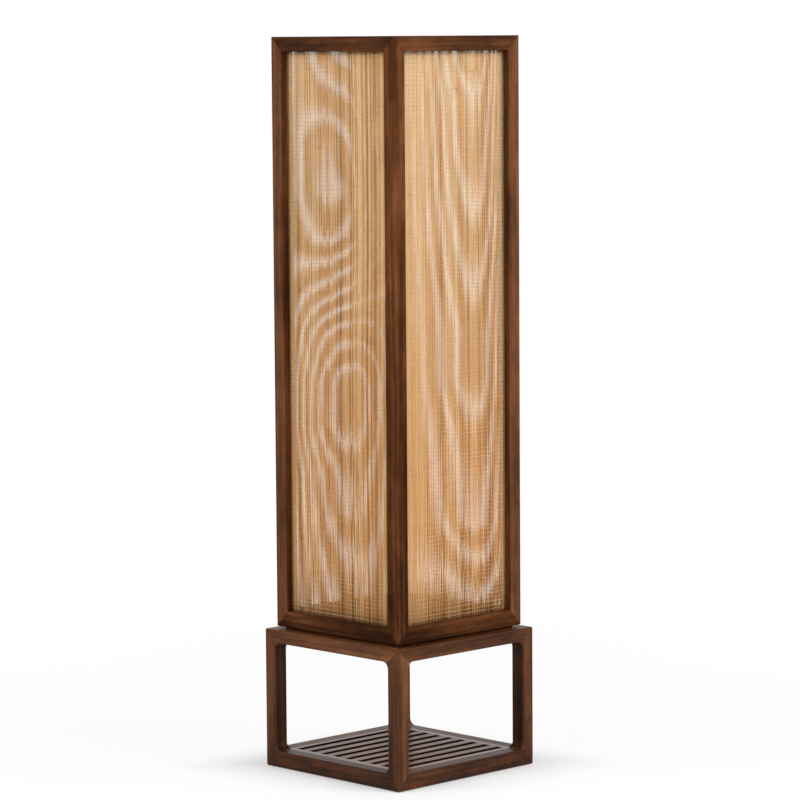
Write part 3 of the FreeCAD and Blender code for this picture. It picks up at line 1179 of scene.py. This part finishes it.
    def _splints(self) -> bpy.types.Object:
        """Model the splint once and copy it to all splints of the panel.

        Returns:
            All splints as one piece.
        """
        pattern = self._splint_pattern()
        parts = []
        for splint in self._drawn_splints():
            part = Workbench.moved_copy(pattern, "splint", partial(self._splint_point, splint))
            tones = [splint.tone] * len(part.data.vertices)
            part.data.attributes["tone"].data.foreach_set("value", tones)
            parts.append(part)
        Workbench.discard(pattern)
        piece = Workbench.joined("reed_splints_%s" % self.side.label, parts)
        bpy.ops.object.shade_smooth()
        return piece

    def _drawn_ties(self) -> Iterator[Tie]:
        """Draw by chance how each thread of the panel strays from an even one.

        Yields:
            The threads from the lowest up.
        """
        chance = random.Random(self.thread_seed + self.seed)
        for index in range(int((self.top - self.bottom) / self.thread_pitch)):
            even = self.bottom + (index + 0.5) * self.thread_pitch
            height = even + chance.gauss(0, self.thread_play)
            slope = chance.gauss(0, self.thread_slope)
            yield Tie(height, slope, chance.gauss(0, self.thread_play))

    def _tie_point(self, tie: Tie, ahead: float, point: Vector) -> Vector:
        """Put one point of the thread pattern in its place on the lantern.

        Args:
            tie: the thread that the point belongs to.
            ahead: how far the thread lies from the splints' middle plane.
            point: point of the pattern.

        Returns:
            Its place.
        """
        share = point.z / (2 * self.half_width)
        bend = tie.slope * share + tie.swing * math.cos(4 * math.pi * share)
        place = Vector((point.z, self.plane + ahead + point.y, tie.height + point.x + bend))
        return self.side.turn @ place

    def _threads(self) -> bpy.types.Object:
        """Model the thread once and copy it before and behind the splints.

        Returns:
            All threads of the panel as one piece.
        """
        length = 2 * self.half_width
        centre = Vector((0, 0, 0))
        pattern = Workbench.rod(
            "thread_pattern", self.thread_sides, self.thread_radius, length, centre
        )
        Workbench.choose_edges(pattern, lambda a, b: abs(a.z - b.z) > length / 2)
        bpy.ops.mesh.subdivide(number_cuts=self.thread_runs - 1)
        bpy.ops.object.mode_set(mode="OBJECT")
        offset = self.splint_depth / 2 + self.thread_radius * self.thread_press
        parts = []
        for tie in self._drawn_ties():
            for ahead in (-offset, offset):
                place = partial(self._tie_point, tie, ahead)
                parts.append(Workbench.moved_copy(pattern, "thread", place))
        Workbench.discard(pattern)
        piece = Workbench.joined("reed_threads_%s" % self.side.label, parts)
        Workbench.turn_outwards(piece)
        bpy.ops.object.shade_smooth()
        return piece


@dataclass
class Lantern:
    """Tall frame of the lantern with its four reed panels.

    Each bow has its height, the bow of the panel's middle and that of the panel as a whole.
    """

    first_board: int = 20
    gloss: float = 0.03
    own_gloss: dict[str, float] = field(default_factory=lambda: {
        "lantern_post_front_left": 0.10,
        "lantern_post_back_right": 0.10,
        "lantern_top_rail_front": 0.055,
        "lantern_top_rail_right": 0.06,
    })
    tones: dict[str, float] = field(default_factory=lambda: {
        "lantern_post_front_left": 0.06,
        "lantern_post_back_right": 0.10,
        "lantern_top_rail_front": -0.11,
        "lantern_top_rail_right": -0.06,
        "lantern_bottom_rail_front": -0.16,
        "lantern_bottom_rail_right": -0.08,
    })
    slants: dict[str, Triple] = field(default_factory=lambda: {
        "lantern_post_front_right": (0.0, 0.0, 0.13),
        # painted shade: the bottom rails are painted darker downwards, towards the shadow gap
        # under the lantern
        "lantern_bottom_rail_front": (0.0, 0.0, 5.0),
        "lantern_bottom_rail_right": (0.0, 0.3, 4.0),
    })
    left_bows: tuple[Bow, ...] = (
        Bow(0.270, 0.0004, -0.0001),
        Bow(0.440, -0.0007, -0.0002),
        Bow(0.600, -0.0018, -0.0006),
        Bow(0.952, 0.0042, 0.0003),
        Bow(1.300, -0.0005, 0.0015),
    )
    right_bows: tuple[Bow, ...] = (
        Bow(0.200, -0.0016, 0.0),
        Bow(0.450, -0.0038, 0.0),
        Bow(0.700, -0.0047, 0.0),
        Bow(1.030, -0.0061, 0.0),
        Bow(1.200, -0.0070, 0.0),
    )
    right_lop: float = 0.38

    def build(self) -> None:
        """Build the panels and finish the frame."""
        for panel in self.panels():
            panel.build()
        dress_frame(
            "lantern", self.tones, self.slants, self.gloss, self.own_gloss, self.first_board
        )

    def panels(self) -> list[ReedPanel]:
        """Lay out the four panels, with the size of the CAD model's front one.

        Returns:
            The panels: front and left bow as a pair, and so do right and back, mirrored.
        """
        low, high = box_of("reed_panel_front")
        size = {
            "half_width": high.x,
            "bottom": low.z,
            "top": high.z,
            "plane": (low.y + high.y) / 2,
        }
        left = {
            "bows": self.left_bows,
            "fullness": 1.24,
            "shift": 0.00037,
            "tight_from": 0.10,
            "tight_foot": 0.4,
            "bleach": 0.03,
        }
        right = {
            "bows": self.right_bows,
            "tight_from": 0.45,
            "tight_share": 0.18,
            "bleach": 0.10,
            "fade": 0.15,
        }
        lop = self.right_lop
        return [
            ReedPanel(Side.FRONT, seed=1, tight_side=1, lop=0.0, **size, **left),
            ReedPanel(Side.RIGHT, seed=2, tight_side=-1, lop=-lop, **size, **right),
            ReedPanel(Side.BACK, seed=3, tight_side=1, lop=lop, **size, **right),
            ReedPanel(Side.LEFT, seed=4, tight_side=-1, lop=0.0, **size, **left),
        ]


def dress_frame(
    name: str,
    tones: dict[str, float],
    slants: dict[str, Triple],
    gloss: float,
    own_gloss: dict[str, float],
    first_board: int,
) -> None:
    """Finish the posts and rails of one frame in walnut, each as a board of its own.

    Args:
        name: name that the frame's nodes begin with.
        tones: how much lighter or darker a board is than the rest.
        slants: how much a board's tone changes in a metre from its middle along X, Y and Z.
        gloss: polish of the wood.
        own_gloss: polish of the boards that differ from the rest.
        first_board: number of the first board, which its figure comes from.
    """
    members = [node for node in sorted(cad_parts) if node.startswith(name + "_")]
    for number, node in enumerate(members):
        if "_post_" in node:
            grain = Grain.UPRIGHT
        elif node.endswith(("front", "back")):
            grain = Grain.ACROSS
        else:
            grain = Grain.DEEP
        low, high = box_of(node)
        finish = Walnut(
            grain,
            first_board + number,
            tone=tones.get(node, 0.0),
            slant=slants.get(node, (0.0, 0.0, 0.0)),
            middle=tuple((low + high) / 2),
            gloss=own_gloss.get(node, gloss),
        )
        finish.dress(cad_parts[node])


@dataclass
class Stand:
    """Open stand with its slatted shelf and felt pads."""

    tones: dict[str, float] = field(default_factory=lambda: {
        "stand_post_front_left": -0.04,
        "stand_top_rail_front": 0.10,
        "stand_post_front_right": 0.02,
        "stand_top_rail_right": 0.03,
        "stand_bottom_rail_front": -0.23,
        "stand_bottom_rail_right": -0.15,
        "stand_post_back_right": -0.09,
    })
    slants: dict[str, Triple] = field(default_factory=lambda: {
        # painted shade: the front right post's front face is painted darker and its right face
        # lighter
        "stand_post_front_right": (7.0, 7.0, 0.0),
        "stand_top_rail_front": (0.5, 0.0, 0.0),
    })
    first_board: int = 40
    first_shelf_board: int = 60
    dowel_board: int = 9
    frame_gloss: float = 0.12
    border_varnish: float = 0.95
    slat_varnish: float = 0.74
    shelf_rough: float = 0.30
    shelf_tone: float = 0.04
    # the varnish ends and the painted shade of the slots begins this far under a shelf piece's top
    varnish_and_shade_edge: float = 0.00005

    def build(self) -> None:
        """Finish the stand and its shelf."""
        dress_frame("stand", self.tones, self.slants, self.frame_gloss, {}, self.first_board)
        kinds = {
            "shelf_slat": (Grain.DEEP, self.slat_varnish),
            "shelf_stile": (Grain.DEEP, self.border_varnish),
            "shelf_rail": (Grain.ACROSS, self.border_varnish),
        }
        for number, node in enumerate(sorted(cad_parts)):
            for kind, (grain, varnish) in kinds.items():
                if node.startswith(kind):
                    self._shelf_wood(node, grain, number, varnish).dress(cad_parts[node])
        Batten(Grain.UPRIGHT, self.dowel_board).dress(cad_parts["shelf_dowels"])
        Felt().dress(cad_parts["felt_pads"])

    def _shelf_wood(self, node: str, grain: Grain, number: int, varnish: float) -> Walnut:
        """Walnut of one shelf piece: varnished on top, with painted shade, dark, down its sides.

        Args:
            node: name of the piece.
            grain: way of the grain.
            number: number of the piece, which its figure comes from.
            varnish: strength of the varnish on its top.

        Returns:
            The finish.
        """
        top = box_of(node)[1].z
        return Walnut(
            grain,
            self.first_shelf_board + number,
            tone=self.shelf_tone,
            # painted shade below this height, down the sides of the slots
            painted_shade_below=top - self.varnish_and_shade_edge,
            gloss=0.0,
            varnish=varnish,
            rough=self.shelf_rough,
        )


@dataclass
class Screws:
    """Cross-recessed pan-head screws that stand for one screw node.

    The rim is rounded by a share of the head's height, the recess is cut to a share of it, and
    the widths of the dome, the recess and the point are shares of the width they start from.
    """

    node: str
    heads: list[tuple[Vector, Vector]]
    head_radius: float
    head_height: float
    shank_radius: float
    shank_length: float
    head_sides: int = 24
    dome_inset: float = 0.22
    rim_round: float = 0.35
    rim_segments: int = 3
    point_length: float = 0.15
    point_width: float = 0.15
    recess_depth: float = 0.45
    recess_length: float = 1.05
    recess_width: float = 0.26
    smooth_angle: float = 35.0
    steel: Colour = (0.42, 0.40, 0.37)
    steel_rough: float = 0.34

    def build(self) -> None:
        """Build the screws as one piece."""
        pattern = self._pattern()
        parts = []
        for seat, outward in self.heads:
            turn = outward.to_track_quat("Z", "Y").to_matrix().to_4x4()
            put = Matrix.Translation(seat) @ turn
            parts.append(Workbench.moved_copy(pattern, "screw", lambda point: put @ point))
        Workbench.discard(pattern)
        piece = Workbench.joined("%s_detailed" % self.node, parts)
        bpy.ops.object.shade_smooth_by_angle(angle=math.radians(self.smooth_angle))
        Metal("screw_steel", self.steel, self.steel_rough).dress(piece)
        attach(piece, BODY_STAND)
        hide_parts(self.node)

    def _pattern(self) -> bpy.types.Object:
        """Model one screw on the Z axis, its head standing up from the origin.

        Returns:
            The screw.
        """
        middle = Vector((0, 0, self.head_height / 2))
        pattern = Workbench.rod(
            "screw_pattern", self.head_sides, self.head_radius, self.head_height, middle
        )
        Workbench.choose_faces(pattern, lambda centre, normal: normal.z > LEVEL_FACE)
        bpy.ops.mesh.inset(thickness=self.head_radius * self.dome_inset)
        bpy.ops.object.mode_set(mode="OBJECT")
        Workbench.choose_edges(pattern, lambda a, b: self._on_rim(a) and self._on_rim(b))
        bpy.ops.mesh.bevel(
            offset=self.head_height * self.rim_round, segments=self.rim_segments
        )
        bpy.ops.object.mode_set(mode="OBJECT")
        Workbench.choose_faces(pattern, lambda centre, normal: normal.z < -LEVEL_FACE)
        bpy.ops.mesh.inset(thickness=self.head_radius - self.shank_radius)
        for share in (1 - self.point_length, self.point_length):
            down = (0, 0, -self.shank_length * share)
            bpy.ops.mesh.extrude_region_move(TRANSFORM_OT_translate={"value": down})
        bpy.ops.transform.resize(value=(self.point_width, self.point_width, 1.0))
        bpy.ops.object.mode_set(mode="OBJECT")
        self._cut_cross(pattern)
        return pattern

    def _on_rim(self, point: Vector) -> bool:
        """True for a point on the head's upper rim."""
        outside = math.hypot(point.x, point.y) > self.head_radius * ON_RIM
        return point.z > self.head_height * ON_RIM and outside

    def _cut_cross(self, pattern: bpy.types.Object) -> None:
        """Cut the cross recess into the head.

        Args:
            pattern: the screw.
        """
        long = self.head_radius * self.recess_length
        wide = self.head_radius * self.recess_width
        depth = self.head_height * self.recess_depth * 2
        top = Vector((0, 0, self.head_height))
        for size in ((long, wide, depth), (wide, long, depth)):
            bar = Workbench.box("cross_bar", top, Vector(size))
            Workbench.modify(pattern, "BOOLEAN", operation="DIFFERENCE", object=bar)
            Workbench.discard(bar)


@dataclass
class RibbedRing:
    """Ring on the lamp holder with grip ribs round its outside.

    Its outer size is the CAD node's. A valley takes up a stretch of each rib's turn.
    """

    node: str = "holder_ring"
    inner: float = 0.0137
    valley_depth: float = 0.0007
    valley_stretch: Span = (0.1, 0.6)
    ribs: int = 36
    points_a_rib: int = 4
    soft_edge: float = 0.0002
    soft_segments: int = 2
    smooth_angle: float = 35.0
    plastic: Colour = (0.030, 0.028, 0.026)

    def build(self) -> None:
        """Build the ring."""
        low, high = box_of(self.node)
        outer = high.x
        centre = Vector((0, 0, (low.z + high.z) / 2))
        sides = self.points_a_rib * self.ribs
        ring = Workbench.rod("holder_ring_ribbed", sides, outer, high.z - low.z, centre)
        Workbench.choose_faces(ring, lambda middle, normal: abs(normal.z) > LEVEL_FACE)
        bpy.ops.mesh.inset(thickness=outer - self.inner)
        bpy.ops.mesh.bridge_edge_loops()
        bpy.ops.object.mode_set(mode="OBJECT")
        self._press_valleys(ring.data, outer)
        Workbench.turn_outwards(ring)
        Workbench.modify(ring, "BEVEL", width=self.soft_edge, segments=self.soft_segments)
        bpy.ops.object.shade_smooth_by_angle(angle=math.radians(self.smooth_angle))
        Plastic("holder_plastic_ring", self.plastic).dress(ring)
        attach(ring, BODY_STAND)
        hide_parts(self.node)

    def _press_valleys(self, mesh: bpy.types.Mesh, outer: float) -> None:
        """Press the valleys between the ribs into the outside of the ring.

        Args:
            mesh: mesh of the ring.
            outer: radius over the ribs.
        """
        step = 2 * math.pi / self.ribs
        begin, end = self.valley_stretch
        for point in mesh.vertices:
            radius = math.hypot(point.co.x, point.co.y)
            if radius > (self.inner + outer) / 2:
                way = math.atan2(point.co.y, point.co.x) / step % 1.0
                wanted = outer - self.valley_depth if begin < way < end else outer
                point.co.x *= wanted / radius
                point.co.y *= wanted / radius


@dataclass
class LampFitting:
    """Board, battens, lamp holder, bulb and cable gland inside the lamp."""

    board_number: int = 90
    board_tone: float = -0.02
    ledger_screw_spacing: float = 0.150
    plate_screw_circle: float = 0.018
    holder_black: Colour = (0.030, 0.028, 0.026)
    gland_black: Colour = (0.024, 0.024, 0.025)
    gland_rough: float = 0.45
    plate_steel: Colour = (0.30, 0.29, 0.27)
    plate_rough: float = 0.42
    cap_metal: Colour = (0.70, 0.66, 0.58)
    cap_rough: float = 0.30

    def build(self) -> None:
        """Finish the fitting's nodes and build its screws and ring."""
        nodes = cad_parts
        Walnut(Grain.ACROSS, self.board_number, self.board_tone).dress(nodes["top_board"])
        for number, side in enumerate(Side):
            grain = Grain.ACROSS if side in (Side.FRONT, Side.BACK) else Grain.DEEP
            Batten(grain, number).dress(nodes["ledger_%s" % side.label])
            Batten(grain, len(Side) + number).dress(nodes["cleat_%s" % side.label])
        Plastic("holder_plastic", self.holder_black).dress(nodes["holder_body"])
        Plastic("gland_plastic", self.gland_black, self.gland_rough).dress(nodes["cable_gland"])
        Metal("plate_steel", self.plate_steel, self.plate_rough).dress(nodes["holder_plate"])
        Metal("cap_metal", self.cap_metal, self.cap_rough).dress(nodes["bulb_cap"])
        FrostedGlass(box_of("bulb_glass")[0].z).dress(nodes["bulb_glass"])
        RibbedRing(plastic=self.holder_black).build()
        self._ledger_screws().build()
        self._plate_screws().build()

    def _ledger_screws(self) -> Screws:
        """Two screws through each ledger into its top rail.

        Returns:
            The screws, whose heads sit on the inner faces of the ledgers.
        """
        low, high = box_of("ledger_front")
        reach = self.ledger_screw_spacing / 2
        heads = []
        for side in Side:
            inward = side.turn @ Vector((0, 1, 0))
            for x in (-reach, reach):
                seat = Vector((x, high.y, (low.z + high.z) / 2))
                heads.append((side.turn @ seat, inward))
        return Screws(
            "ledger_screws",
            heads,
            head_radius=0.004,
            head_height=0.0025,
            shank_radius=0.002,
            shank_length=0.026,
        )

    def _plate_screws(self) -> Screws:
        """Two screws through the lamp holder's plate.

        Returns:
            The screws, whose heads sit on the plate.
        """
        top = box_of("holder_plate")[1].z
        reach = self.plate_screw_circle
        heads = [(Vector((x, 0, top)), Vector((0, 0, 1))) for x in (-reach, reach)]
        return Screws(
            "holder_screws",
            heads,
            head_radius=0.003,
            head_height=0.0018,
            shank_radius=0.0015,
            shank_length=0.009,
        )


@dataclass
class Studio:
    """Pale floor, soft light and the camera at the photograph's angle.

    Angles are in degrees. The floor shines by itself a little, more beyond the object's own
    reach and most far off, so that the shadow stays soft.
    """

    camera_azimuth: float = 45.544
    camera_heading: float = 45.501
    camera_distance: float = 5.7277
    camera_height: float = 1.2017
    camera_pitch: float = -5.928
    camera_roll: float = -0.398
    camera_sight: float = 200.0
    focal_pixels: float = 3516.5
    sensor_width: float = 36.0
    floor_side: float = 60.0
    floor_seen: float = 0.99
    floor_lit: float = 0.72
    shine: float = 0.3
    shine_beside: float = 0.6
    shine_far: float = 0.1
    beside_end: float = 0.30
    far_reach: Span = (0.4, 1.6)
    sky_strength: float = 0.36
    lamp_aim: float = 0.6
    lamp_elevation: float = 28.0
    lamp_distance: float = 4.0
    lamp_side: float = 2.4
    right_azimuth: float = 106.0
    right_power: float = 126.0
    left_azimuth: float = -16.0
    left_power: float = 90.0

    def build(self) -> None:
        """Build the floor, the sky, the lamps and the camera."""
        self._floor()
        self._sky()
        self._soft_lamp("right_lamp", self.right_azimuth, self.right_power)
        self._soft_lamp("left_lamp", self.left_azimuth, self.left_power)
        self._camera()

    def _floor(self) -> None:
        """Pale floor that keeps the lamp's shadow and fades to white far off."""
        Workbench.clear()
        bpy.ops.mesh.primitive_plane_add(size=self.floor_side, location=(0, 0, 0))
        floor = bpy.context.object
        floor.name = "studio_floor"
        graph = Graph.of_material("studio_floor")
        x, y, _ = graph.position()
        reach = graph.maths("MAXIMUM", abs(x), abs(y))
        seen = graph.looks("Is Camera Ray", "Is Glossy Ray")
        lit_tone, seen_tone = (self.floor_lit,) * 3, (self.floor_seen,) * 3
        pale = graph.colour_mix(seen, lit_tone, seen_tone)
        cloth = graph.node("ShaderNodeBsdfDiffuse", values={"Color": pale})
        white = graph.node("ShaderNodeEmission", values={"Color": WHITE, "Strength": 1.0})
        beside = graph.between(reach, CAD_BOX[1][0], self.beside_end) * self.shine_beside
        far = graph.between(reach, *self.far_reach) * self.shine_far
        shine = (beside + far + self.shine) * seen
        values = {0: shine, 1: cloth.outputs[0], 2: white.outputs[0]}
        mixed = graph.node("ShaderNodeMixShader", values=values)
        graph.node("ShaderNodeOutputMaterial", values={"Surface": mixed.outputs[0]})
        floor.data.materials.append(graph.owner)
        log.info("studio floor is laid")

    def _sky(self) -> None:
        """Even light from all sides, white where the camera, gloss or glass sees it."""
        world = bpy.data.worlds.new("studio_sky")
        bpy.context.scene.world = world
        graph = Graph(world)
        seen = graph.looks("Is Camera Ray", "Is Glossy Ray", "Is Transmission Ray")
        strength = seen * (1 - self.sky_strength) + self.sky_strength
        values = {"Color": WHITE, "Strength": strength}
        background = graph.node("ShaderNodeBackground", values=values)
        graph.node("ShaderNodeOutputWorld", values={"Surface": background.outputs[0]})

    def _soft_lamp(self, name: str, azimuth: float, power: float) -> None:
        """Square soft lamp that looks at the middle of the object.

        Args:
            name: name of the lamp.
            azimuth: degrees round from the front, to the right.
            power: watts.
        """
        around, up = math.radians(azimuth), math.radians(self.lamp_elevation)
        level = math.cos(up)
        back = Vector((math.sin(around) * level, -math.cos(around) * level, math.sin(up)))
        light = bpy.data.lights.new(name, "AREA")
        light.size = self.lamp_side
        light.energy = power
        lamp = bpy.data.objects.new(name, light)
        lamp.location = Vector((0, 0, self.lamp_aim)) + back * self.lamp_distance
        lamp.rotation_mode = "QUATERNION"
        lamp.rotation_quaternion = back.to_track_quat("Z", "Y")
        bpy.context.scene.collection.objects.link(lamp)

    def _camera(self) -> None:
        """Camera at the place, turn and lens fitted to the photograph."""
        data = bpy.data.cameras.new("photo_camera")
        data.sensor_width = self.sensor_width
        data.lens = self.focal_pixels * self.sensor_width / PHOTO_SIDE
        data.clip_end = self.camera_sight
        camera = bpy.data.objects.new("photo_camera", data)
        bpy.context.scene.collection.objects.link(camera)
        around = math.radians(self.camera_azimuth)
        place = Vector((math.sin(around), -math.cos(around), 0)) * self.camera_distance
        place.z = self.camera_height
        turn = (
            Matrix.Rotation(math.radians(self.camera_heading), 4, "Z")
            @ Matrix.Rotation(math.radians(90 + self.camera_pitch), 4, "X")
            @ Matrix.Rotation(math.radians(self.camera_roll), 4, "Z")
        )
        camera.matrix_world = Matrix.Translation(place) @ turn
        bpy.context.scene.camera = camera
        bpy.context.scene.view_settings.view_transform = "Standard"


def write_sizes() -> None:
    """Log the end of the build; no sizes are written."""
    log.info("sizes are written")


def main() -> None:
    """Build the lamp and its studio, piece by piece."""
    logging.basicConfig(level=logging.INFO, format="%(message)s")
    for assembly in (Stand(), LampFitting(), Lantern(), Studio()):
        log.info("building %s", type(assembly).__name__)
        assembly.build()
    write_sizes()


if __name__ == "__main__":
    main()
